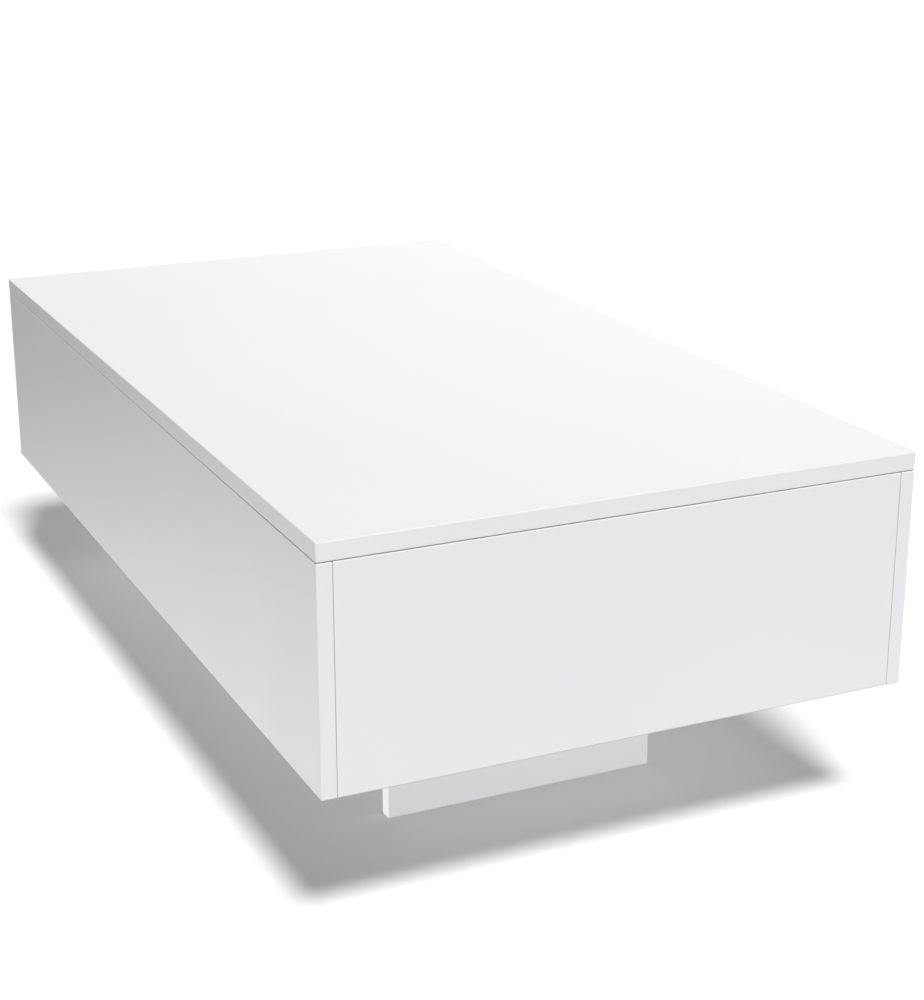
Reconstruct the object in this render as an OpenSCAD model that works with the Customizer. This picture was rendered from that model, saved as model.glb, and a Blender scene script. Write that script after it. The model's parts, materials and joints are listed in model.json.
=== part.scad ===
// Lift-top coffee table: a plain rectangular box on a recessed base. The whole top board lifts
// up and out over the left long side on two parallelogram linkages, which gas struts hold up.
// Millimetres. The origin is on the floor under the middle of the table, +Y runs along the
// table and +Z is up. The near end is at -Y, and the lid travels towards -X.

/* [Table] */
// Length of the table along Y
table_l = 1100; // [1000:10:1200]
// Width of the table along X
table_w = 600; // [590:5:650]
// Height from the floor to the top face
table_h = 388; // [380:1:420]

/* [Boards] */
// Thickness of the top board
top_t = 18; // [16:1:22]
// Thickness of the side, end and bottom panels
panel_t = 15; // [15:1:18]
// Shadow gap under the closed top board
lid_gap = 0.4; // [0.3:0.1:2]

/* [Base] */
// Height of the space under the box
base_h = 153; // [120:1:160]
// Length of each leg board across the table
leg_w = 297; // [260:1:400]
// Thickness of the leg boards and the rail between them
leg_t = 15; // [15:1:22]
// Distance from an end face of the table to a leg board's outer face
leg_inset = 217; // [150:1:300]
// Height of the rail between the leg boards
rail_h = 100; // [80:1:110]
// Thickness of the floor glides
glide_t = 1; // [1:0.5:4]

/* [Lift linkage] */
// Distance along X between the two pivots of a closed link
link_run = 215; // [205:1:220]
// Height difference between the two pivots of a closed link
link_rise = 46; // [44:1:52]
// Offset along X from the drive link's pivots to the idle link's
pivot_run = 90; // [84:1:96]
// Offset in height from the drive link's pivots to the idle link's
pivot_rise = 12; // [10:1:14]
// Depth of the idle link's upper pivot below the top board
pivot_drop = 18; // [17:1:22]
// Distance along the drive link from its lower pivot to the cross tube
tube_reach = 150; // [140:1:155]
// Thickness of the links
link_t = 4; // [3:0.5:4.5]
// Width of the drive links
drive_w = 24; // [20:1:26]
// Width of the idle links
idle_w = 20; // [18:1:22]

/* [Gas struts] */
// Distance of both strut studs from the drive link's lower pivot
strut_arm = 110; // [105:1:112]
// Angle between the two strut studs, seen from that pivot, when closed
strut_angle = 80; // [76:1:84]
// Outer radius of the strut's cylinder
strut_r = 9; // [8:0.5:9]

/* [Hidden] */
$fn = 48;

// Boards
lid_z = table_h - top_t;            // underside of the closed top board
box_top = lid_z - lid_gap;          // top edge of the side and end panels
well_z = base_h + panel_t;          // floor of the storage well
half_l = table_l / 2;
half_w = table_w / 2;
well_x = half_w - panel_t;          // inner face of the side panels
well_y = half_l - panel_t;          // inner face of the end panels
panel_mid = panel_t / 2;
leg_y = half_l - leg_inset;         // outer face of a leg board
leg_mid = leg_y - leg_t / 2;

// Knock-down fittings
fit = 0.05;                         // radial clearance of a fastener in its hole
cam_r = 7.5;
cam_h = 12.5;
cam_edge = 34;                      // cam centre from the panel's edge
cam_head = 2;                       // dowel head past the cam's centre line
cam_recess = [8, 1.4, 2];           // length, width and depth of a cam's cross recess
dowel_bolt_r = 3;
dowel_thread_r = 3.5;
dowel_thread_l = 11;
dowel_bore_r = 4;
wood_dowel_r = 4;
wood_dowel_long = 20;               // part in a panel's edge
wood_dowel_short = 10;              // part in a panel's face
corner_cam_z = [base_h + 30, box_top - 26];
corner_dowel_z = (base_h + box_top) / 2;
bottom_cam_y = [-420, 0, 420];
bottom_dowel_x = [-150, 150];
rail_dowel_z = [base_h - rail_h + 30, base_h - 30];

// Screws
screw_r = 2;
screw_head_r = 4;
screw_head_h = 2.5;
screw_tip_h = 3;
screw_recess = [4.4, 1.1, 1.4];     // length, width and depth of a screw's cross recess
leg_screw_x = [-110, -40, 40, 110];
rail_screw_y = [-150, 150];
base_screw_l = 50;
short_screw_l = 14.5;

// Soft bumpers in the top edges of the panels
bumper_r = 4;
bumper_stem_r = 2.5;
bumper_stem_l = 7;
bumper_slip = 0.1;                  // from the bumpers' tops to the closed lid
bumper_x = [-150, 150];
bumper_y = [-420, 0, 420];

// Lift linkage, in the X-Z plane
drive_top = [pivot_run / 2, lid_z - pivot_drop - pivot_rise];
drive_low = [drive_top[0] - link_run, drive_top[1] - link_rise];
idle_top = [drive_top[0] - pivot_run, drive_top[1] + pivot_rise];
idle_low = [drive_low[0] - pivot_run, drive_low[1] + pivot_rise];
link_angle = atan2(link_rise, link_run);
stud_top = drive_low + strut_arm * [cos(link_angle), sin(link_angle)];
stud_low = drive_low + strut_arm * [cos(link_angle - strut_angle), sin(link_angle - strut_angle)];
tube_at = drive_low + tube_reach * [cos(link_angle), sin(link_angle)];

// Layers of the linkage, as distances inwards from an end panel's inner face
plate_t = 2.5;
washer_t = 1.2;
slip = 0.2;                         // side clearance between moving layers
link_out = plate_t + washer_t + slip;
link_in = link_out + link_t;
ear_out = link_in + slip + washer_t;
ear_in = ear_out + plate_t;
strut_axis = 24;
pin_r = 5;
pin_head_r = 8;
pin_head_t = 2;
washer_r = 10;
stud_r = 4;
stud_collar_r = 6.5;
stud_head_t = 2.5;

// Cross tube between the two drive links
tube_r = 8;
tube_wall = 1.5;
insert_l = 20;
bolt_r = 3;
bolt_head_r = 6;
bolt_head_t = 2.6;
bolt_socket_r = 2.3;                // hexagon socket, to its corners
bolt_socket_h = 1.6;

// Brackets under the lid
ear_r = 10;
flange_half = 80;
flange_w = 32;
bend_r = 3;                         // outer radius of the bend between ears and flange
lid_screw_x = [-66, -28, 28, 66];
lid_screw_in = ear_out + 22;

// Gas struts, as distances along the strut from a stud's centre
eye_r = 8;
eye_t = 10;
eye_neck_r = 4.5;
eye_end = 12;
strut_wall = 1.5;
strut_back = 3;
strut_guide = 8;
strut_closed = 2 * strut_arm * sin(strut_angle / 2);
strut_slope = link_angle + 90 - strut_angle / 2;  // the strut's own slope when closed
cylinder_end = strut_closed - 21.4;
rod_r = 4;
rod_reach = strut_closed - 18;
piston_t = 6;

board_white = [0.95, 0.95, 0.96];
zinc = [0.72, 0.74, 0.76];
dark_steel = [0.22, 0.23, 0.25];
nylon = [0.88, 0.87, 0.82];
beech = [0.80, 0.66, 0.46];

// --- Helpers ---

// A copy as drawn, at the near end, and one mirrored to the far end
module both_ends() {
    children();
    mirror([0, 1, 0]) children();
}

// Children drawn in a sketch plane of X and Z, raised inwards from the near end panel
module in_layer(from_wall) {
    translate([0, -well_y + from_wall, 0]) mirror([0, 1, 0]) rotate([90, 0, 0]) children();
}

// A round bar along Y at a point of the sketch plane, between two distances from the wall
module cross_pin(at, start, end, r) {
    in_layer(start) translate([at[0], at[1], 0]) cylinder(r = r, h = end - start);
}

// A rod along X, from one x to another
module rod_x(from_x, to_x, y, z, r) {
    translate([min(from_x, to_x), y, z]) rotate([0, 90, 0]) cylinder(r = r, h = abs(to_x - from_x));
}

// A rod along Y, from one y to another
module rod_y(x, from_y, to_y, z, r) {
    translate([x, max(from_y, to_y), z]) rotate([90, 0, 0]) cylinder(r = r, h = abs(to_y - from_y));
}

// Outline of a straight link with round ends
module link_outline(low, top, w) {
    len = norm(top - low);
    translate(low) rotate(atan2(top[1] - low[1], top[0] - low[0])) {
        circle(d = w);
        translate([len, 0]) circle(d = w);
        translate([0, -w / 2]) square([len, w]);
    }
}

// A cross recess that goes down from the origin; size is its length, width and depth
module cross_recess(size) {
    for (a = [0, 90]) rotate(a) translate([-size[0] / 2, -size[1] / 2, -size[2]])
        cube([size[0], size[1], size[2] + 1]);
}

// A countersunk screw with its head's face at the origin, pointing along -Z
module screw_body(len, grow = 0) {
    shank = len - screw_tip_h - screw_head_h;
    translate([0, 0, -screw_head_h])
        cylinder(r1 = screw_r + grow, r2 = screw_head_r + grow, h = screw_head_h);
    translate([0, 0, screw_tip_h - len]) cylinder(r = screw_r + grow, h = shank + 0.01);
    translate([0, 0, -len]) cylinder(r1 = grow + 0.5, r2 = screw_r + grow, h = screw_tip_h);
}

// The screw itself, or the space that its hole takes when grow is above zero
module screw(len, grow = 0) {
    if (grow > 0) screw_body(len, grow);
    else difference() {
        screw_body(len);
        cross_recess(screw_recess);
    }
}

// Children along the strut's own axis: local +X runs from the lower stud to the upper one
module along_strut() {
    in_layer(strut_axis) translate(stud_low) rotate(strut_slope) children();
}

// Children at all four corners of the box, drawn for the near right one
module four_corners() {
    both_ends() {
        children();
        mirror([1, 0, 0]) children();
    }
}

// --- Places of the fittings ---

// Centres of the cams that hold an end panel, drawn for the near right corner
module corner_cam_places() {
    for (z = corner_cam_z) translate([well_x - cam_edge, -well_y, z]) children();
}

// Centres of the cams under the bottom panel, drawn for the right side
module bottom_cam_places() {
    for (y = bottom_cam_y) translate([well_x - cam_edge, y, base_h]) children();
}

// A cam's dowel bolt, from just past the cam's centre to inside the side panel
module cam_bolt(grow_pin = 0, grow_thread = 0) {
    rod_x(cam_head, cam_edge, 0, 0, dowel_bolt_r + grow_pin);
    rod_x(cam_edge, cam_edge + dowel_thread_l, 0, 0, dowel_thread_r + grow_thread);
}

module all_cam_bolts(grow_pin = 0, grow_thread = 0) {
    four_corners() corner_cam_places() translate([0, -panel_mid, 0]) cam_bolt(grow_pin, grow_thread);
    for (side = [0, 1]) mirror([side, 0, 0]) bottom_cam_places()
        translate([0, 0, panel_mid]) cam_bolt(grow_pin, grow_thread);
}

module all_cams(grow = 0) {
    four_corners() corner_cam_places() rod_y(0, -cam_h, 0, 0, cam_r + grow);
    for (side = [0, 1]) mirror([side, 0, 0]) bottom_cam_places() cylinder(r = cam_r + grow, h = cam_h);
}

module all_wood_dowels(grow = 0) {
    r = wood_dowel_r + grow;
    four_corners() rod_x(well_x - wood_dowel_long, well_x + wood_dowel_short,
                         -well_y - panel_mid, corner_dowel_z, r);
    both_ends() {
        for (x = bottom_dowel_x)
            rod_y(x, -well_y - wood_dowel_short, -well_y + wood_dowel_long, base_h + panel_mid, r);
        for (z = rail_dowel_z)
            rod_y(0, leg_t - leg_y - wood_dowel_short, leg_t - leg_y + wood_dowel_long, z, r);
    }
}

module all_base_screws(grow = 0) {
    both_ends() for (x = leg_screw_x) translate([x, -leg_mid, well_z]) screw(base_screw_l, grow);
    for (y = rail_screw_y) translate([0, y, well_z]) screw(base_screw_l, grow);
}

// Screws that hold a base plate, drawn for the near end
module plate_screws(grow = 0) {
    for (at = plate_screw_places)
        in_layer(plate_t) translate([at[0], at[1], 0]) screw(short_screw_l, grow);
}

plate_left = -well_x + 10;
plate_right = stud_low[0] + 22;
plate_low = stud_low[1] - 16;
plate_high = idle_low[1] + 15;
plate_screw_places = [
    [plate_left + 13, idle_low[1] - 34], [plate_left + 13, idle_low[1] - 80],
    [plate_left + 66, plate_low + 20], [plate_left + 106, plate_low + 20],
    [plate_right - 11, drive_low[1] - 32], [drive_low[0] - 20, drive_low[1] - 44]
];

// Screws that hold a lid bracket, drawn for the near end
module bracket_screws(grow = 0) {
    for (x = lid_screw_x) translate([x, -well_y + lid_screw_in, lid_z - plate_t])
        mirror([0, 0, 1]) screw(short_screw_l, grow);
}

// --- The box ---

module lid_board() {
    color(board_white) difference() {
        translate([-half_w, -half_l, lid_z]) cube([table_w, table_l, top_t]);
        both_ends() bracket_screws(fit);
    }
}

module side_panel(side) {
    color(board_white) difference() {
        translate([side > 0 ? well_x : -half_w, -half_l, base_h])
            cube([panel_t, table_l, box_top - base_h]);
        all_cam_bolts(fit, fit);
        all_wood_dowels(fit);
        bumpers(fit);
    }
}

module side_panel_left() side_panel(-1);
module side_panel_right() side_panel(1);

module end_panel() {
    color(board_white) difference() {
        translate([-well_x, -half_l, base_h]) cube([2 * well_x, panel_t, box_top - base_h]);
        all_cams(fit);
        all_cam_bolts(dowel_bore_r - dowel_bolt_r, 0);
        all_wood_dowels(fit);
        bumpers(fit);
        plate_screws(fit);
    }
}

module end_panel_near() end_panel();
module end_panel_far() mirror([0, 1, 0]) end_panel();

module bottom_panel() {
    color(board_white) difference() {
        translate([-well_x, -well_y, base_h]) cube([2 * well_x, 2 * well_y, panel_t]);
        all_cams(fit);
        all_cam_bolts(dowel_bore_r - dowel_bolt_r, 0);
        all_wood_dowels(fit);
        all_base_screws(fit);
    }
}

// --- The base ---

module leg_board() {
    color(board_white) difference() {
        translate([-leg_w / 2, -leg_y, glide_t]) cube([leg_w, leg_t, base_h - glide_t]);
        all_wood_dowels(fit);
        all_base_screws(fit);
    }
}

module leg_board_near() leg_board();
module leg_board_far() mirror([0, 1, 0]) leg_board();

module base_rail() {
    rail_y = leg_y - leg_t;
    color(board_white) difference() {
        translate([-leg_t / 2, -rail_y, base_h - rail_h]) cube([leg_t, 2 * rail_y, rail_h]);
        all_wood_dowels(fit);
        all_base_screws(fit);
    }
}

module floor_glides() {
    color(nylon) both_ends() for (x = [-1, 1])
        translate([x * (leg_w / 2 - 25), -leg_mid, 0]) cylinder(d = leg_t - 2, h = glide_t);
}

// --- Fittings in the boards ---

module cam_locks() {
    color(zinc) difference() {
        all_cams();
        all_cam_bolts(0.6, 0);
        four_corners() corner_cam_places() rotate([-90, 0, 0]) cross_recess(cam_recess);
        for (side = [0, 1]) mirror([side, 0, 0]) bottom_cam_places()
            rotate([180, 0, 0]) cross_recess(cam_recess);
    }
}

module cam_dowels() color(zinc) all_cam_bolts();

module wood_dowels() color(beech) all_wood_dowels();

module base_screws() color(zinc) all_base_screws();

// Bumpers pushed into the top edges of the panels, or the holes for their stems
module bumpers(grow = 0) {
    side_places = [for (x = [-1, 1], y = bumper_y) [x * (half_w - panel_mid), y]];
    end_places = [for (x = bumper_x, y = [-1, 1]) [x, y * (half_l - panel_mid)]];
    for (at = concat(side_places, end_places)) translate([at[0], at[1], box_top]) {
        translate([0, 0, -bumper_stem_l]) cylinder(r = bumper_stem_r + grow, h = bumper_stem_l + 0.01);
        if (grow == 0) cylinder(r = bumper_r, h = lid_gap - bumper_slip);
    }
}

module lid_bumpers() color(nylon) bumpers();

// --- Fixed parts of the lift linkage ---

module base_plate() {
    color(zinc) difference() {
        in_layer(0) linear_extrude(plate_t) difference() {
            polygon([
                [plate_left, plate_high], [drive_low[0] + 20, plate_high],
                [plate_right, drive_low[1] - 20], [plate_right, plate_low],
                [plate_left + 44, plate_low], [plate_left, plate_low + 40]
            ]);
            for (at = [idle_low, drive_low]) translate(at) circle(r = pin_r + fit);
            translate(stud_low) circle(r = stud_r + fit);
        }
        plate_screws(fit);
    }
}

module base_plate_near() base_plate();
module base_plate_far() mirror([0, 1, 0]) base_plate();

module base_plate_screws() color(zinc) both_ends() plate_screws();

module lower_pivot_pins() {
    color(zinc) both_ends() for (at = [drive_low, idle_low]) {
        cross_pin(at, 0, link_in + slip + 0.01, pin_r);
        cross_pin(at, link_in + slip, link_in + slip + pin_head_t, pin_head_r);
    }
}

module lower_pivot_washers() {
    color(nylon) both_ends() for (at = [drive_low, idle_low]) difference() {
        cross_pin(at, plate_t, plate_t + washer_t, washer_r);
        cross_pin(at, 0, link_in, pin_r + fit);
    }
}

// A shoulder stud for a strut's eye, with its shank starting at a distance from the wall
module strut_stud(at, start, seat) {
    eye_out = strut_axis - eye_t / 2 - slip;
    eye_in = strut_axis + eye_t / 2 + slip;
    cross_pin(at, start, eye_in + 0.01, stud_r);
    cross_pin(at, seat, eye_out, stud_collar_r);
    cross_pin(at, eye_in, eye_in + stud_head_t, stud_collar_r);
}

module strut_lower_studs() color(zinc) both_ends() strut_stud(stud_low, 0, plate_t);

// --- Drive links and what is fixed to them ---

module drive_link() {
    color(zinc) in_layer(link_out) linear_extrude(link_t) difference() {
        link_outline(drive_low, drive_top, drive_w);
        for (at = [drive_low, drive_top]) translate(at) circle(r = pin_r + fit);
        translate(stud_top) circle(r = stud_r + fit);
        translate(tube_at) circle(r = bolt_r + fit);
    }
}

module drive_link_near() drive_link();
module drive_link_far() mirror([0, 1, 0]) drive_link();

module cross_tube() {
    end_y = well_y - link_in;
    color(dark_steel) difference() {
        rod_y(tube_at[0], -end_y, end_y, tube_at[1], tube_r);
        rod_y(tube_at[0], -end_y - 1, end_y + 1, tube_at[1], tube_r - tube_wall);
    }
}

module cross_tube_inserts() {
    color(zinc) both_ends() difference() {
        cross_pin(tube_at, link_in, link_in + insert_l, tube_r - tube_wall - fit);
        cross_pin(tube_at, link_in - 1, link_in + insert_l + 1, bolt_r + fit);
    }
}

module cross_tube_bolts() {
    color(zinc) both_ends() {
        cross_pin(tube_at, link_out - 0.01, link_in + insert_l - 4, bolt_r);
        difference() {
            cross_pin(tube_at, link_out - bolt_head_t, link_out, bolt_head_r);
            in_layer(link_out - bolt_head_t - 1) translate(tube_at)
                cylinder(r = bolt_socket_r, h = bolt_socket_h + 1, $fn = 6);
        }
    }
}

module strut_upper_studs() {
    color(zinc) both_ends() {
        strut_stud(stud_top, link_out - 0.01, link_in);
        cross_pin(stud_top, link_out - pin_head_t, link_out, stud_collar_r);
    }
}

// --- Idle links ---

module idle_link() {
    color(zinc) in_layer(link_out) linear_extrude(link_t) difference() {
        link_outline(idle_low, idle_top, idle_w);
        translate(idle_low) circle(r = pin_r + fit);
        translate(idle_top) circle(r = pin_r + 2 * fit);
    }
}

module idle_link_near() idle_link();
module idle_link_far() mirror([0, 1, 0]) idle_link();

// --- What is fixed to the lid ---

// What the bend takes off the corner between a bracket's ears and its flange
module bend_corner() {
    left = idle_top[0] - ear_r;
    right = drive_top[0] + ear_r;
    translate([left, -well_y + ear_out, lid_z]) difference() {
        translate([0, -1, -bend_r]) cube([right - left, bend_r + 1, bend_r + 1]);
        translate([-1, bend_r, -bend_r]) rotate([0, 90, 0]) cylinder(r = bend_r, h = right - left + 2);
    }
}

module lid_bracket() {
    color(zinc) difference() {
        union() {
            in_layer(ear_out) linear_extrude(plate_t) {
                for (at = [drive_top, idle_top]) translate(at) circle(r = ear_r);
                polygon([
                    [idle_top[0] - ear_r, lid_z], [idle_top[0] - ear_r, idle_top[1]],
                    [idle_top[0], idle_top[1] - ear_r], [drive_top[0], drive_top[1] - ear_r],
                    [drive_top[0] + ear_r, drive_top[1]], [drive_top[0] + ear_r, lid_z]
                ]);
            }
            translate([-flange_half, -well_y + ear_out, lid_z - plate_t])
                cube([2 * flange_half, flange_w, plate_t]);
        }
        for (at = [drive_top, idle_top]) cross_pin(at, 0, ear_in + 1, pin_r + fit);
        bracket_screws(fit);
        bend_corner();
    }
}

module lid_bracket_near() lid_bracket();
module lid_bracket_far() mirror([0, 1, 0]) lid_bracket();

module lid_bracket_screws() color(zinc) both_ends() bracket_screws();

module upper_pivot_pins() {
    head_in = link_out - slip;
    color(zinc) both_ends() for (at = [drive_top, idle_top]) {
        cross_pin(at, head_in - pin_head_t, head_in, pin_head_r);
        cross_pin(at, head_in - 0.01, ear_in + 0.01, pin_r);
        cross_pin(at, ear_in, ear_in + pin_head_t, pin_head_r);
    }
}

module upper_pivot_washers() {
    color(nylon) both_ends() for (at = [drive_top, idle_top]) difference() {
        cross_pin(at, ear_out - washer_t, ear_out, ear_r);
        cross_pin(at, 0, ear_in, pin_r + fit);
    }
}

// --- Gas struts ---

// An eye on a stud, with a neck along the strut
module strut_eye() {
    difference() {
        union() {
            translate([0, 0, -eye_t / 2]) cylinder(r = eye_r, h = eye_t);
            rotate([0, 90, 0]) cylinder(r = eye_neck_r, h = eye_end);
        }
        translate([0, 0, -eye_t]) cylinder(r = stud_r + fit, h = 2 * eye_t);
    }
}

module strut_cylinder() {
    color(dark_steel) along_strut() rotate([0, 90, 0]) difference() {
        translate([0, 0, eye_end]) cylinder(r = strut_r, h = cylinder_end - eye_end);
        translate([0, 0, eye_end + strut_back])
            cylinder(r = strut_r - strut_wall, h = cylinder_end - strut_guide - eye_end - strut_back);
        translate([0, 0, cylinder_end - strut_guide - 1])
            cylinder(r = rod_r + fit, h = strut_guide + 2);
    }
}

module strut_cylinder_near() strut_cylinder();
module strut_cylinder_far() mirror([0, 1, 0]) strut_cylinder();

module cylinder_end_eyes() color(dark_steel) both_ends() along_strut() strut_eye();

module strut_rod() {
    color(zinc) along_strut() rotate([0, 90, 0])
        translate([0, 0, strut_closed - rod_reach]) cylinder(r = rod_r, h = rod_reach - eye_end);
}

module strut_rod_near() strut_rod();
module strut_rod_far() mirror([0, 1, 0]) strut_rod();

module strut_pistons() {
    color(nylon) both_ends() along_strut() rotate([0, 90, 0])
        translate([0, 0, strut_closed - rod_reach]) difference() {
            cylinder(r = strut_r - strut_wall - 2 * fit, h = piston_t);
            translate([0, 0, -1]) cylinder(r = rod_r + fit, h = piston_t + 2);
        }
}

module rod_end_eyes() {
    color(dark_steel) both_ends() along_strut()
        translate([strut_closed, 0, 0]) mirror([1, 0, 0]) strut_eye();
}

lid_board();
side_panel_left();
side_panel_right();
end_panel_near();
end_panel_far();
bottom_panel();
leg_board_near();
leg_board_far();
base_rail();
floor_glides();
cam_locks();
cam_dowels();
wood_dowels();
base_screws();
lid_bumpers();
base_plate_near();
base_plate_far();
base_plate_screws();
lower_pivot_pins();
lower_pivot_washers();
strut_lower_studs();
drive_link_near();
drive_link_far();
cross_tube();
cross_tube_inserts();
cross_tube_bolts();
strut_upper_studs();
idle_link_near();
idle_link_far();
lid_bracket_near();
lid_bracket_far();
lid_bracket_screws();
upper_pivot_pins();
upper_pivot_washers();
strut_cylinder_near();
strut_cylinder_far();
cylinder_end_eyes();
strut_rod_near();
strut_rod_far();
strut_pistons();
rod_end_eyes();
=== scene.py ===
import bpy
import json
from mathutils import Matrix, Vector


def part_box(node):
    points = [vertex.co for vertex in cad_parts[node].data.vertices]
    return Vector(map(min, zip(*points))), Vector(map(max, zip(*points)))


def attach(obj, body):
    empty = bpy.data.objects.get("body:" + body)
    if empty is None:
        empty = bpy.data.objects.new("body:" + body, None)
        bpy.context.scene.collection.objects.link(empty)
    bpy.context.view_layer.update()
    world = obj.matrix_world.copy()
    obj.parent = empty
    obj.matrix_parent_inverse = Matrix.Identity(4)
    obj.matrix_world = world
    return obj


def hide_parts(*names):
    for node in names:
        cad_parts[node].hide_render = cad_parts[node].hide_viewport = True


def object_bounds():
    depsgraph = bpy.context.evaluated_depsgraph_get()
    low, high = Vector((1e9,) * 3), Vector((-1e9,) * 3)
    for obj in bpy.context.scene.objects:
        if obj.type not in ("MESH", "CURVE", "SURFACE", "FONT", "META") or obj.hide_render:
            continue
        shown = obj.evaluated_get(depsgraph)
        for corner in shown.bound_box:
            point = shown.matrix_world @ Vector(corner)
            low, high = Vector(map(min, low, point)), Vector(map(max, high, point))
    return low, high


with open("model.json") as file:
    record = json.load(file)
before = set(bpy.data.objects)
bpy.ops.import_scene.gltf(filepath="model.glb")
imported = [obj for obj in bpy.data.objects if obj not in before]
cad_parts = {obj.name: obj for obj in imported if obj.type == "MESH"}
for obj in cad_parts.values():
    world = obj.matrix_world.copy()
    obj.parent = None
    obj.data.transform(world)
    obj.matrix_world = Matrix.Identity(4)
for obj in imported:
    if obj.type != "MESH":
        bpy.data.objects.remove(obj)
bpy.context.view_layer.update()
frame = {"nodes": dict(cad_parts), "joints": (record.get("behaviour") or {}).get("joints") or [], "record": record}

import json
from math import cos, pi, radians, sin, tau

import bmesh
import bpy
from mathutils import Matrix, Vector

X, Y, Z = Vector((1, 0, 0)), Vector((0, 1, 0)), Vector((0, 0, 1))
MM = 0.001
scene = bpy.context.scene


# ---------------------------------------------------------------- camera, floor and light

# How far the camera is from the table's left side, near end and top, and its turns in degrees
FROM_LEFT_SIDE, FROM_NEAR_END, ABOVE_TOP = 0.546, 1.465, 0.563
LOOK_DOWN, LOOK_RIGHT = 18.64, 24.84
SENSOR_WIDTH, FOCAL_LENGTH, FAR_CLIP = 36, 73.02, 100
FLOOR_REACH = 30

KEY_STRENGTH = 2.91
TOWARDS_KEY = Vector((-0.11, -0.66, 1)).normalized()
KEY_WIDTH = radians(12)
BASE_STRENGTH = 1.25
TOWARDS_BASE_LIGHT = Vector((-0.83, -0.56, -0.05)).normalized()
BASE_LIGHT_WIDTH = radians(20)
BASE_BOARDS = ["leg_board_near", "leg_board_far", "base_rail"]
BACKDROP_COLOUR, BACKDROP_STRENGTH = (1, 1, 1, 1), 1.05
STUDIO_COLOUR = (0.985, 0.99, 1.0, 1)

# Soft edges of the studio's bright parts. Each gives an axis, and how far along it a direction has
# to point for the part to start there and to be full.
HORIZON = [("Z", 0.4, 0.1), ("Z", -0.15, 0.05)]
BELOW = [("Z", -0.2, -0.45), ("Z", -0.85, -0.55)]
LOW = [("Z", 0.4, 0.1), ("Z", -0.9, -0.6)]
LOW_BAND = [("Z", 0.05, -0.15), ("Z", -0.7, -0.4)]
LEFT, RIGHT, FRONT = ("X", 0.0, -0.8), ("X", 0.0, 0.8), ("Y", 0.0, -0.8)
# The parts themselves, added together: how bright each one is, and its edges
STUDIO = [
    (0.77, [("Y", 0.2, 0.9), ("Z", -0.05, 0.15)]),  # behind and above
    (0.40, [*HORIZON, LEFT]),
    (0.48, [*HORIZON, FRONT]),
    (0.60, [*HORIZON, RIGHT]),
    (0.22, [RIGHT]),
    (0.10, [("Z", 0.3, 0.9)]),  # overhead
    (0.92, BELOW),
    (0.31, [*LOW, ("X", 0.2, -0.3)]),  # low to the left
    (0.94, [*LOW_BAND, ("X", -0.1, 0.4), ("Y", -0.2, 0.3)]),  # low behind
]


def make_camera():
    """A long lens in front of the near end and to the left, looking down at the table."""
    low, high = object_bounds()
    data = bpy.data.cameras.new("camera")
    data.sensor_width = SENSOR_WIDTH
    data.lens = FOCAL_LENGTH
    data.clip_end = FAR_CLIP
    camera = bpy.data.objects.new("camera", data)
    camera.location = (low.x - FROM_LEFT_SIDE, low.y - FROM_NEAR_END, high.z - low.z + ABOVE_TOP)
    camera.rotation_euler = (radians(90 - LOOK_DOWN), 0, radians(-LOOK_RIGHT))
    scene.collection.objects.link(camera)
    scene.camera = camera


def make_floor():
    """A wide pale floor that takes shadows and leaves the table's own light alone."""
    bm = bmesh.new()
    bmesh.ops.create_grid(bm, x_segments=8, y_segments=8, size=FLOOR_REACH)
    mesh = bpy.data.meshes.new("floor")
    bm.to_mesh(mesh)
    floor = bpy.data.objects.new("floor", mesh)
    floor.data.materials.append(pale_floor())
    floor.visible_diffuse = False
    floor.visible_glossy = False
    floor.visible_shadow = False
    scene.collection.objects.link(floor)


def math_node(nodes, links, operation, first, second):
    node = nodes.new("ShaderNodeMath")
    node.operation = operation
    links.new(first, node.inputs[0])
    links.new(second, node.inputs[1])
    return node.outputs[0]


def sun(name, strength, towards, width):
    """A light that comes from one direction, with soft edges as wide as the angle it fills."""
    data = bpy.data.lights.new(name, "SUN")
    data.energy = strength
    data.angle = width
    lamp = bpy.data.objects.new(name, data)
    lamp.rotation_euler = towards.to_track_quat("Z", "Y").to_euler()
    scene.collection.objects.link(lamp)
    return lamp


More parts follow.
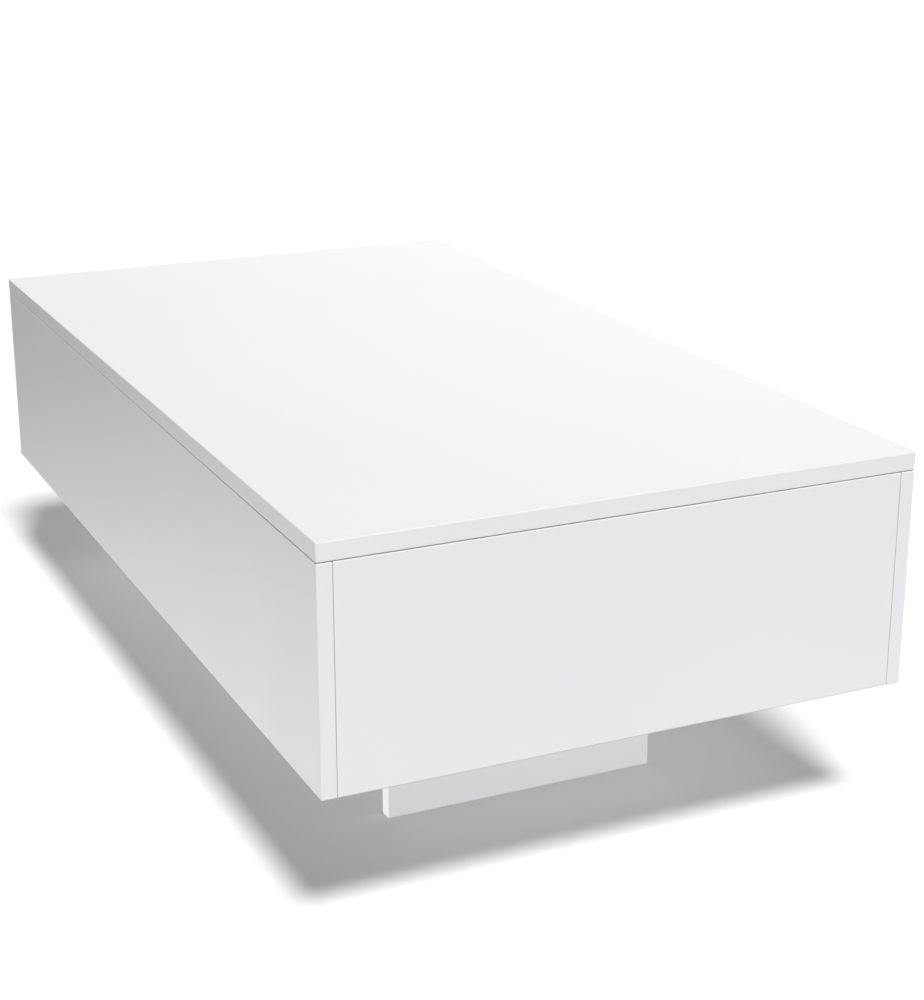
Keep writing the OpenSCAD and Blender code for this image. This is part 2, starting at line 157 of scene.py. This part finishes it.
def make_light():
    """A soft key from above and in front, a low light on the base's boards, and a white studio."""
    sun("key", KEY_STRENGTH, TOWARDS_KEY, KEY_WIDTH)
    base_light = sun("base_light", BASE_STRENGTH, TOWARDS_BASE_LIGHT, BASE_LIGHT_WIDTH)
    base_boards = bpy.data.collections.new("base_boards")
    for node in BASE_BOARDS:
        base_boards.objects.link(frame["nodes"][node])
    base_light.light_linking.receiver_collection = base_boards

    world = bpy.data.worlds.new("studio")
    world.use_nodes = True
    scene.world = world
    nodes, links = world.node_tree.nodes, world.node_tree.links
    nodes.clear()
    backdrop = nodes.new("ShaderNodeBackground")
    backdrop.inputs["Color"].default_value = BACKDROP_COLOUR
    backdrop.inputs["Strength"].default_value = BACKDROP_STRENGTH
    around = nodes.new("ShaderNodeBackground")
    around.inputs["Color"].default_value = STUDIO_COLOUR
    direction = nodes.new("ShaderNodeTexCoord")
    split = nodes.new("ShaderNodeSeparateXYZ")
    links.new(direction.outputs["Generated"], split.inputs[0])
    total = None
    for amount, edges in STUDIO:
        part = nodes.new("ShaderNodeValue").outputs[0]
        part.default_value = amount
        for axis, start, full in edges:
            edge = nodes.new("ShaderNodeMapRange")
            edge.interpolation_type = "SMOOTHSTEP"
            edge.inputs["From Min"].default_value = start
            edge.inputs["From Max"].default_value = full
            links.new(split.outputs[axis], edge.inputs["Value"])
            part = math_node(nodes, links, "MULTIPLY", part, edge.outputs["Result"])
        total = part if total is None else math_node(nodes, links, "ADD", total, part)
    links.new(total, around.inputs["Strength"])
    path = nodes.new("ShaderNodeLightPath")
    choose = nodes.new("ShaderNodeMixShader")
    output = nodes.new("ShaderNodeOutputWorld")
    links.new(path.outputs["Is Camera Ray"], choose.inputs["Fac"])
    links.new(around.outputs[0], choose.inputs[1])
    links.new(backdrop.outputs[0], choose.inputs[2])
    links.new(choose.outputs[0], output.inputs["Surface"])
    scene.view_settings.view_transform = "Standard"


# ---------------------------------------------------------------- materials

class Surface:
    """A principled material with short calls for the nodes that vary it over the surface."""

    def __init__(self, name, colour, roughness, metallic=0.0, **sockets):
        self.material = bpy.data.materials.new(name)
        self.material.use_nodes = True
        self.nodes = self.material.node_tree.nodes
        self.links = self.material.node_tree.links
        self.shader = self.nodes["Principled BSDF"]
        self.set("Base Color", (*colour, 1))
        self.set("Roughness", roughness)
        self.set("Metallic", metallic)
        for socket, value in sockets.items():
            self.set(socket.replace("_", " "), value)
        self.place = self.nodes.new("ShaderNodeTexCoord").outputs["Object"]
        self.height = None

    def set(self, socket, value):
        self.shader.inputs[socket].default_value = value

    def noise(self, scale, detail=2.0, stretch=(1, 1, 1), roughness=0.5):
        """Noise with features of about 1/scale metres, squeezed along each axis by stretch."""
        mapping = self.nodes.new("ShaderNodeMapping")
        mapping.inputs["Scale"].default_value = stretch
        self.links.new(self.place, mapping.inputs["Vector"])
        texture = self.nodes.new("ShaderNodeTexNoise")
        texture.inputs["Scale"].default_value = scale
        texture.inputs["Detail"].default_value = detail
        texture.inputs["Roughness"].default_value = roughness
        self.links.new(mapping.outputs[0], texture.inputs["Vector"])
        return texture.outputs["Fac"]

    def to_range(self, value, low, high, start=0.3, end=0.7):
        """Turns start to end of a value into low to high, with soft ends."""
        node = self.nodes.new("ShaderNodeMapRange")
        node.interpolation_type = "SMOOTHSTEP"
        node.inputs["From Min"].default_value = start
        node.inputs["From Max"].default_value = end
        node.inputs["To Min"].default_value = low
        node.inputs["To Max"].default_value = high
        self.links.new(value, node.inputs["Value"])
        return node.outputs["Result"]

    def vary_colour(self, value, first, second):
        node = self.nodes.new("ShaderNodeMix")
        node.data_type = "RGBA"
        node.inputs["A"].default_value = (*first, 1)
        node.inputs["B"].default_value = (*second, 1)
        self.links.new(self.to_range(value, 0, 1), node.inputs["Factor"])
        self.links.new(node.outputs["Result"], self.shader.inputs["Base Color"])

    def vary_roughness(self, value, low, high):
        self.links.new(self.to_range(value, low, high), self.shader.inputs["Roughness"])

    def paint_joint_shade(self, reach, amount):
        """Darkens the colour where another surface faces this one closer than reach: painted shade for the shadow
        inside a fine joint's gap.
        """
        closed, clear = 0.2, 0.95
        opening = self.nodes.new("ShaderNodeAmbientOcclusion")
        opening.samples = 8
        opening.inputs["Distance"].default_value = reach
        shade = self.nodes.new("ShaderNodeMix")
        shade.data_type = "RGBA"
        shade.blend_type = "MULTIPLY"
        shade.inputs["Factor"].default_value = 1
        colour = self.shader.inputs["Base Color"]
        self.links.new(colour.links[0].from_socket, shade.inputs["A"])
        grey = self.nodes.new("ShaderNodeCombineColor")
        level = self.to_range(opening.outputs["AO"], 1 - amount, 1, closed, clear)
        for channel in ("Red", "Green", "Blue"):
            self.links.new(level, grey.inputs[channel])
        self.links.new(grey.outputs[0], shade.inputs["B"])
        self.links.new(shade.outputs["Result"], colour)

    def bump(self, value, distance, strength=1.0, coat=False):
        node = self.nodes.new("ShaderNodeBump")
        node.inputs["Distance"].default_value = distance
        node.inputs["Strength"].default_value = strength
        self.links.new(value, node.inputs["Height"])
        if self.height is not None:
            self.links.new(self.height, node.inputs["Normal"])
        self.height = node.outputs["Normal"]
        self.links.new(self.height, self.shader.inputs["Normal"])
        if coat:
            self.links.new(self.height, self.shader.inputs["Coat Normal"])


def pale_floor():
    s = Surface("pale_floor", (0.98, 0.98, 0.98), 0.8, Specular_IOR_Level=0.1)
    s.vary_colour(s.noise(3.0), (0.98, 0.98, 0.98), (0.985, 0.985, 0.985))
    return s.material


def gloss_white():
    """Gloss white lacquer on fibreboard: a clear coat with faint orange peel and a slow swell."""
    coat = {"Coat_Weight": 1.0, "Coat_Roughness": 0.03, "Coat_IOR": 1.5}
    s = Surface("gloss_white", (0.82, 0.825, 0.84), 0.3, **coat)
    s.vary_colour(s.noise(2.5, 3), (0.815, 0.82, 0.835), (0.83, 0.833, 0.842))
    # painted shade: the colour darkens inside the fine joints between boards, standing in for the shadow in the
    # gaps
    s.paint_joint_shade(5 * MM, 0.45)
    s.vary_roughness(s.noise(7, 2), 0.31, 0.36)
    s.bump(s.noise(14, 1), 0.00006, coat=True)
    s.bump(s.noise(330, 2), 0.0000035, coat=True)
    return s.material


def zinc():
    """Bright zinc plate: cool and faintly yellow clouds, with the rolling marks of sheet steel."""
    s = Surface("zinc_plate", (0.64, 0.65, 0.66), 0.32, 1.0)
    s.vary_colour(s.noise(28, 4), (0.60, 0.62, 0.645), (0.70, 0.69, 0.655))
    s.vary_roughness(s.noise(90, 4, (1, 1, 6)), 0.31, 0.44)
    s.bump(s.noise(260, 3, (1, 1, 9)), 0.00001)
    return s.material


def black_enamel():
    s = Surface("black_enamel", (0.018, 0.018, 0.02), 0.34, Coat_Weight=0.4, Coat_Roughness=0.18)
    s.vary_roughness(s.noise(50, 3), 0.31, 0.42)
    s.vary_colour(s.noise(20, 3), (0.016, 0.016, 0.018), (0.024, 0.024, 0.026))
    s.bump(s.noise(700, 2), 0.000004)
    return s.material


def chrome():
    s = Surface("polished_chrome", (0.78, 0.785, 0.80), 0.07, 1.0)
    s.vary_colour(s.noise(40, 2), (0.76, 0.765, 0.78), (0.80, 0.80, 0.81))
    s.vary_roughness(s.noise(200, 3, (3, 1, 1)), 0.05, 0.12)
    s.bump(s.noise(900, 2), 0.000002)
    return s.material


def nylon():
    under = {"Subsurface_Weight": 0.15, "Subsurface_Scale": 2 * MM}
    s = Surface("natural_nylon", (0.80, 0.79, 0.73), 0.45, **under)
    s.vary_colour(s.noise(80, 3), (0.78, 0.77, 0.70), (0.83, 0.82, 0.77))
    s.vary_roughness(s.noise(150, 2), 0.38, 0.52)
    s.bump(s.noise(900, 2), 0.00001)
    return s.material


def clear_silicone():
    s = Surface("clear_silicone", (0.84, 0.85, 0.86), 0.28, Transmission_Weight=0.4, IOR=1.41)
    s.vary_colour(s.noise(60, 2), (0.82, 0.83, 0.85), (0.86, 0.87, 0.87))
    s.vary_roughness(s.noise(300, 2), 0.31, 0.38)
    s.bump(s.noise(600, 2), 0.00001)
    return s.material


def black_plastic():
    """Moulded black nylon with a fine spark-eroded grain."""
    s = Surface("black_plastic", (0.022, 0.022, 0.024), 0.5)
    s.vary_colour(s.noise(60, 3), (0.018, 0.018, 0.02), (0.028, 0.028, 0.03))
    s.vary_roughness(s.noise(120, 2), 0.44, 0.6)
    s.bump(s.noise(1400, 3), 0.00003)
    return s.material


def beech():
    """Turned beech with short dark flecks along the grain."""
    s = Surface("beech", (0.62, 0.44, 0.26), 0.6)
    s.vary_colour(s.noise(160, 5, (0.12, 0.12, 1)), (0.70, 0.52, 0.33), (0.52, 0.35, 0.20))
    s.vary_roughness(s.noise(240, 3), 0.5, 0.72)
    s.bump(s.noise(420, 4, (0.15, 0.15, 1)), 0.00004)
    return s.material


MATERIALS = {
    "board": gloss_white(),
    "zinc": zinc(),
    "black_steel": black_enamel(),
    "chrome_rod": chrome(),
    "nylon": nylon(),
    "silicone": clear_silicone(),
    "black_plastic": black_plastic(),
    "beech": beech(),
}
SLOT_OF = {part["node"]: part["material_slot"] for part in frame["record"]["subparts"]}
BODY_OF = {
    node: body
    for body, members in frame["record"]["behaviour"]["bodies"].items()
    for node in members
}
JOINT_AT = {joint["name"]: Vector(joint["pos_m"]) for joint in frame["joints"]}


# ---------------------------------------------------------------- finishing the CAD nodes

BOARD_EDGE = 1.2 * MM
METAL_EDGE = 0.3 * MM
EDGE_STEPS = 3
LONG_EDGE = 2.5 * MM
SHARP_ANGLE = radians(50)
FLAT_ANGLE = radians(0.5)
SAME_POINT = 0.01 * MM


def paint(obj, material):
    if not obj.material_slots:
        obj.data.materials.append(material)
    for material_slot in obj.material_slots:
        material_slot.material = material


def long_edge_marker():
    """A geometry node group that gives the bevel weight 1 to a board's long sharp edges, and leaves
    the short ones round its holes alone."""
    group = bpy.data.node_groups.new("mark_long_edges", "GeometryNodeTree")
    group.interface.new_socket("Geometry", in_out="INPUT", socket_type="NodeSocketGeometry")
    group.interface.new_socket("Geometry", in_out="OUTPUT", socket_type="NodeSocketGeometry")
    nodes, links = group.nodes, group.links
    angle = nodes.new("GeometryNodeInputMeshEdgeAngle").outputs["Unsigned Angle"]
    ends = nodes.new("GeometryNodeInputMeshEdgeVertices")
    length = nodes.new("ShaderNodeVectorMath")
    length.operation = "DISTANCE"
    links.new(ends.outputs["Position 1"], length.inputs[0])
    links.new(ends.outputs["Position 2"], length.inputs[1])
    tests = []
    for value, limit in ((angle, SHARP_ANGLE), (length.outputs["Value"], LONG_EDGE)):
        test = nodes.new("FunctionNodeCompare")
        test.operation = "GREATER_THAN"
        test.inputs["B"].default_value = limit
        links.new(value, test.inputs["A"])
        tests.append(test.outputs["Result"])
    both = nodes.new("FunctionNodeBooleanMath")
    links.new(tests[0], both.inputs[0])
    links.new(tests[1], both.inputs[1])
    store = nodes.new("GeometryNodeStoreNamedAttribute")
    store.domain = "EDGE"
    store.inputs["Name"].default_value = "bevel_weight_edge"
    store.inputs["Value"].default_value = 1
    links.new(nodes.new("NodeGroupInput").outputs[0], store.inputs["Geometry"])
    links.new(both.outputs[0], store.inputs["Selection"])
    links.new(store.outputs["Geometry"], nodes.new("NodeGroupOutput").inputs[0])
    return group


MARK_LONG_EDGES = long_edge_marker()


def soften(obj, width, long_edges_only):
    """Rounds a CAD node's sharp edges, over a mesh that is first cleared of its flat triangles."""
    weld = obj.modifiers.new("weld", "WELD")
    weld.merge_threshold = SAME_POINT
    flatten = obj.modifiers.new("flatten", "DECIMATE")
    flatten.decimate_type = "DISSOLVE"
    flatten.angle_limit = FLAT_ANGLE
    if long_edges_only:
        obj.modifiers.new("mark", "NODES").node_group = MARK_LONG_EDGES
    bevel = obj.modifiers.new("round_edges", "BEVEL")
    bevel.width = width
    bevel.segments = EDGE_STEPS
    bevel.limit_method = "WEIGHT" if long_edges_only else "ANGLE"
    bevel.angle_limit = SHARP_ANGLE
    bevel.use_clamp_overlap = long_edges_only
    bevel.loop_slide = False  # sliding would pull out a corner whose edge bridges to a hole
    obj.modifiers.new("shade", "WEIGHTED_NORMAL").keep_sharp = True


def finish_cad_nodes():
    for name, obj in frame["nodes"].items():
        paint(obj, MATERIALS[SLOT_OF[name]])
        board = SLOT_OF[name] == "board"
        soften(obj, BOARD_EDGE if board else METAL_EDGE, board)


# ---------------------------------------------------------------- turned pieces

CREASE_ANGLE = radians(35)
THREAD_STEPS = 6  # for each turn of a thread
THREAD_TIP = 0.08  # the radius at a screw's tip, as a part of its core


def solids(node):
    """The lowest and highest corners of each separate solid in a CAD node, at rest."""
    bm = bmesh.new()
    bm.from_mesh(frame["nodes"][node].data)
    bmesh.ops.remove_doubles(bm, verts=bm.verts, dist=SAME_POINT)
    left = set(bm.verts)
    boxes = []
    while left:
        found = [left.pop()]
        for vert in found:
            for edge in vert.link_edges:
                other = edge.other_vert(vert)
                if other in left:
                    left.remove(other)
                    found.append(other)
        low = Vector([min(v.co[i] for v in found) for i in range(3)])
        high = Vector([max(v.co[i] for v in found) for i in range(3)])
        boxes.append([low, high])
    bm.free()
    return sorted(boxes, key=lambda box: tuple(box[0]))


def along(start, direction):
    """The place of a turned solid that starts at a point and whose own +Z points in a direction."""
    turned = direction.to_track_quat("Z", "Y").to_matrix().to_4x4()
    return Matrix.Translation(start) @ turned


def places(node, direction_of):
    """The place of each solid of a node, with +Z along direction_of(its centre), and its length."""
    for low, high in solids(node):
        centre = (low + high) / 2
        direction = direction_of(centre)
        length = abs((high - low).dot(direction))
        yield along(centre - direction * length / 2, direction), length


def outwards(centre):
    return Y if centre.y > 0 else -Y


def inwards(centre):
    return -outwards(centre)


def arc(height, radius, r, start, end, steps=5):
    """Profile points on an arc round (height, radius); an angle of 0 points along the axis."""
    angles = [radians(start + (end - start) * step / steps) for step in range(steps + 1)]
    return [(height + r * cos(angle), radius + r * sin(angle)) for angle in angles]


def turn(bm, place, profile, segments=40, extra=None):
    """Adds a solid of revolution. The profile lists heights and radii, and extra(height, angle)
    may add to the radius, for flutes and threads. Returns its first ring."""
    rings = []
    for height, radius in profile:
        ring = []
        for step in range(segments):
            angle = tau * step / segments
            r = radius + (extra(height, angle) if extra else 0)
            ring.append(bm.verts.new(place @ Vector((r * cos(angle), r * sin(angle), height))))
        rings.append(ring)
    for lower, upper in zip(rings, rings[1:]):
        for step in range(segments):
            following = (step + 1) % segments
            bm.faces.new((lower[step], lower[following], upper[following], upper[step]))
    bm.faces.new(rings[-1])
    return rings[0]


def cross_cap(bm, place, ring, reach, width, depth):
    """Closes a screw's head with a cross recess, which narrows to half its size at its depth."""
    corners = [(reach, width), (width, width), (width, reach)]
    quarters = [Matrix.Rotation(pi / 2 * turns, 2) for turns in range(4)]
    outline = [quarter @ Vector(c) for quarter in quarters for c in corners]
    top = [bm.verts.new(place @ Vector((*c, 0))) for c in outline]
    bottom = [bm.verts.new(place @ Vector((*(c * 0.5), depth))) for c in outline]
    edges = []
    for verts in (ring, top):
        for first, second in zip(verts, verts[1:] + verts[:1]):
            edges.append(bm.edges.get((first, second)) or bm.edges.new((first, second)))
    bmesh.ops.triangle_fill(bm, edges=edges, use_beauty=True)
    for i, vert in enumerate(top):
        j = (i + 1) % len(top)
        bm.faces.new((vert, top[j], bottom[j], bottom[i]))
    bm.faces.new(bottom)


def make_piece(name, bm, node):
    """Turns a finished bmesh into a piece that stands for a CAD node and moves with its body."""
    bmesh.ops.recalc_face_normals(bm, faces=bm.faces)
    for face in bm.faces:
        face.smooth = True
    for edge in bm.edges:
        edge.smooth = edge.calc_face_angle(0) < CREASE_ANGLE
    mesh = bpy.data.meshes.new(name)
    bm.to_mesh(mesh)
    bm.free()
    obj = bpy.data.objects.new(name, mesh)
    obj.data.materials.append(MATERIALS[SLOT_OF[node]])
    scene.collection.objects.link(obj)
    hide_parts(node)
    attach(obj, BODY_OF[node])


def thread(core, crest, pitch, start, end, run_out):
    """The profile and extra radius of a thread that fades in at its start and out at its end."""
    def extra(height, angle):
        turns = height / pitch - angle / tau
        ridge = max(0, 1 - 3 * abs(turns - round(turns)))
        fade = min(1, max(0, (height - start) / pitch), max(0, (end - height) / run_out))
        return (crest - core) * ridge * fade

    steps = round((end - start) / pitch * THREAD_STEPS)
    heights = [start + (end - start) * step / steps for step in range(steps + 1)]
    profile = [(h, core * min(1, THREAD_TIP + (end - h) / run_out)) for h in heights]
    return profile, extra


def make_screws(name, node, direction_of):
    """Countersunk wood screws with a cross recess, a rolled thread and a point."""
    head_r, head_h, rim_r = 3.9 * MM, 2.5 * MM, 0.25 * MM
    core, crest, pitch, point = 1.4 * MM, 2 * MM, 1.5 * MM, 3 * MM
    cross_reach, cross_width, cross_depth = 2.3 * MM, 0.5 * MM, 1.7 * MM
    bm = bmesh.new()
    for place, length in places(node, direction_of):
        profile, extra = thread(core, crest, pitch, head_h + 1 * MM, length, point)
        rim = arc(rim_r, head_r - rim_r, rim_r, 180, 60, 3)
        neck = [(head_h * 0.85, crest * 1.05), (head_h + 0.4 * MM, core * 1.1)]
        ring = turn(bm, place, rim + neck + profile, 20, extra)
        cross_cap(bm, place, ring, cross_reach, cross_width, cross_depth)
    make_piece(name, bm, node)


def make_cam_dowels():
    """Steel dowels: a ball head that the cam grips, a neck, a shank and a coarse thread."""
    node = "cam_dowels"
    neck_r, shank_r, collar_r = 1.9 * MM, 2.9 * MM, 3.4 * MM
    core, crest, pitch, point, threaded = 2.3 * MM, 3.4 * MM, 2.2 * MM, 2.5 * MM, 11 * MM
    bm = bmesh.new()
    for place, length in places(node, lambda centre: X if centre.x > 0 else -X):
        start = length - threaded
        head = [(0, 0.4 * MM)] + arc(2 * MM, 1 * MM, 2 * MM, 180, 60, 6)
        neck = [(3.6 * MM, neck_r), (8.5 * MM, neck_r), (9.2 * MM, shank_r)]
        collar = [(start - 1.6 * MM, shank_r), (start - 1.5 * MM, collar_r)]
        collar += [(start - 0.3 * MM, collar_r), (start - 0.2 * MM, 2.4 * MM)]
        profile, extra = thread(core, crest, pitch, start, length, point)
        bm.faces.new(turn(bm, place, head + neck + collar + profile, 24, extra))
    make_piece("cam_dowels_threaded", bm, node)


def make_wood_dowels():
    """Beech dowels with bevelled ends and flutes for the glue."""
    node = "wood_dowels"
    radius, flute, flute_count, bevel = 3.95 * MM, 0.3 * MM, 16, 1 * MM

    def flutes(height, angle):
        return -flute * max(0, cos(flute_count * angle)) ** 2

    bm = bmesh.new()
    for low, high in solids(node):
        size = high - low
        axis = X if size.x > size.y else Y
        length = size.dot(axis)
        place = along((low + high) / 2 - axis * length / 2, axis)
        profile = [(0, radius - bevel), (bevel, radius)]
        profile += [(length - bevel, radius), (length, radius - bevel)]
        bm.faces.new(turn(bm, place, profile, 96, flutes))
    make_piece("wood_dowels_fluted", bm, node)


def rivet_head(height, towards, shank_r, head_r, head_h):
    """Profile of a peened head, from the shank out to the dimple in its middle."""
    side = 0.35 * MM
    shape = [(0, shank_r), (0, head_r - side)]
    shape += arc(side, head_r - side, side, 180, 90, 3)[1:]
    dome = [(0.55, 1), (0.8, 0.86), (0.95, 0.62), (1, 0.42)]
    dimple = [(0.97, 0.3), (0.7, 0.2), (0.66, 0.05)]
    shape += [(head_h * h, head_r * r) for h, r in dome + dimple]
    return [(height + towards * h, r) for h, r in shape]


def make_rivets(name, node, two_heads):
    """Pivot pins, peened over at the inner end, or at both ends where both sides move."""
    shank_r, head_r, head_h = 5 * MM, 8 * MM, 2 * MM
    bm = bmesh.new()
    for place, length in places(node, inwards):
        first = [(0, shank_r)]
        if two_heads:
            first = rivet_head(head_h, -1, shank_r, head_r, head_h)[::-1]
        last = rivet_head(length - head_h, 1, shank_r, head_r, head_h)
        bm.faces.new(turn(bm, place, first + last, 48))
    make_piece(name, bm, node)


def make_bumpers():
    """Soft bumpers: a thin domed disc on a ribbed stem that is pushed into the panel's edge."""
    node = "lid_bumpers"
    stem, disc_r, rib_count = 7 * MM, 4 * MM, 3
    tip_r, rib_r, groove_r = 1.8 * MM, 2.5 * MM, 2.1 * MM
    dome = [(0, 0.95), (0.3, 1), (0.7, 0.9), (0.9, 0.6), (1, 0.25)]
    bm = bmesh.new()
    for place, length in places(node, lambda centre: Z):
        profile = [(0, tip_r)]
        for rib in range(rib_count):
            profile.append((stem * rib / rib_count, rib_r))
            profile.append((stem * (rib + 0.5) / rib_count, groove_r))
        profile += [(stem + (length - stem) * h, disc_r * r) for h, r in dome]
        bm.faces.new(turn(bm, place, profile, 32))
    make_piece("lid_bumpers_domed", bm, node)


def make_glides():
    """Nail-on glides: flat discs with a rounded rim, dished round the nail's head."""
    node = "floor_glides"
    bm = bmesh.new()
    for low, high in solids(node):
        centre, length, radius = (low + high) / 2, high.z - low.z, (high.x - low.x) / 2
        place = along(Vector((centre.x, centre.y, high.z)), -Z)
        rim = arc(length * 0.4, radius - length * 0.6, length * 0.6, 90, 0, 4)
        dish = [(length, 3 * MM), (length - 0.35 * MM, 2.4 * MM), (length - 0.15 * MM, 1.2 * MM)]
        bm.faces.new(turn(bm, place, [(0, radius)] + rim + dish, 40))
    make_piece("floor_glides_dished", bm, node)


def make_strut_cylinder(node):
    """A gas strut's tube: a domed foot, a rolled groove over the rod's guide and a rolled end."""
    foot, head = JOINT_AT["strut_foot"].copy(), JOINT_AT["strut_head"].copy()
    low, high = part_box(node)
    foot.y = head.y = (low.y + high.y) / 2
    axis = (head - foot).normalized()
    heights = [(v.co - foot).dot(axis) for v in frame["nodes"][node].data.vertices]
    place, start, length = along(foot, axis), min(heights), max(heights) - min(heights)
    radius, inner, bore, guide = 9 * MM, 7.5 * MM, 4.05 * MM, 8 * MM
    foot_r, end_r, groove_r, seal = 3 * MM, 2 * MM, 1.5 * MM, 0.8 * MM
    outside = [(0, 4 * MM)] + arc(foot_r, radius - foot_r, foot_r, 180, 90, 6)
    outside += arc(length - guide, radius + 1.2 * MM, groove_r, 240, 300, 6)
    outside += arc(length - end_r, radius - end_r, end_r, 90, 0, 6)
    inside = [(length, bore + 1.6 * MM), (length - seal, bore + 1.2 * MM), (length - seal, bore)]
    inside += [(length - guide, bore), (length - guide, inner), (foot_r, inner)]
    bm = bmesh.new()
    profile = [(start + h, r) for h, r in outside + inside]
    bm.faces.new(turn(bm, place, profile, 56))
    make_piece(node + "_rolled", bm, node)


# ---------------------------------------------------------------- put it together

make_camera()
make_floor()
make_light()
finish_cad_nodes()
make_screws("base_plate_screws_threaded", "base_plate_screws", outwards)
make_screws("lid_bracket_screws_threaded", "lid_bracket_screws", lambda centre: Z)
make_screws("base_screws_threaded", "base_screws", lambda centre: -Z)
make_cam_dowels()
make_wood_dowels()
make_rivets("lower_pivot_rivets", "lower_pivot_pins", False)
make_rivets("upper_pivot_rivets", "upper_pivot_pins", True)
make_bumpers()
make_glides()
for end in ("near", "far"):
    make_strut_cylinder("strut_cylinder_" + end)
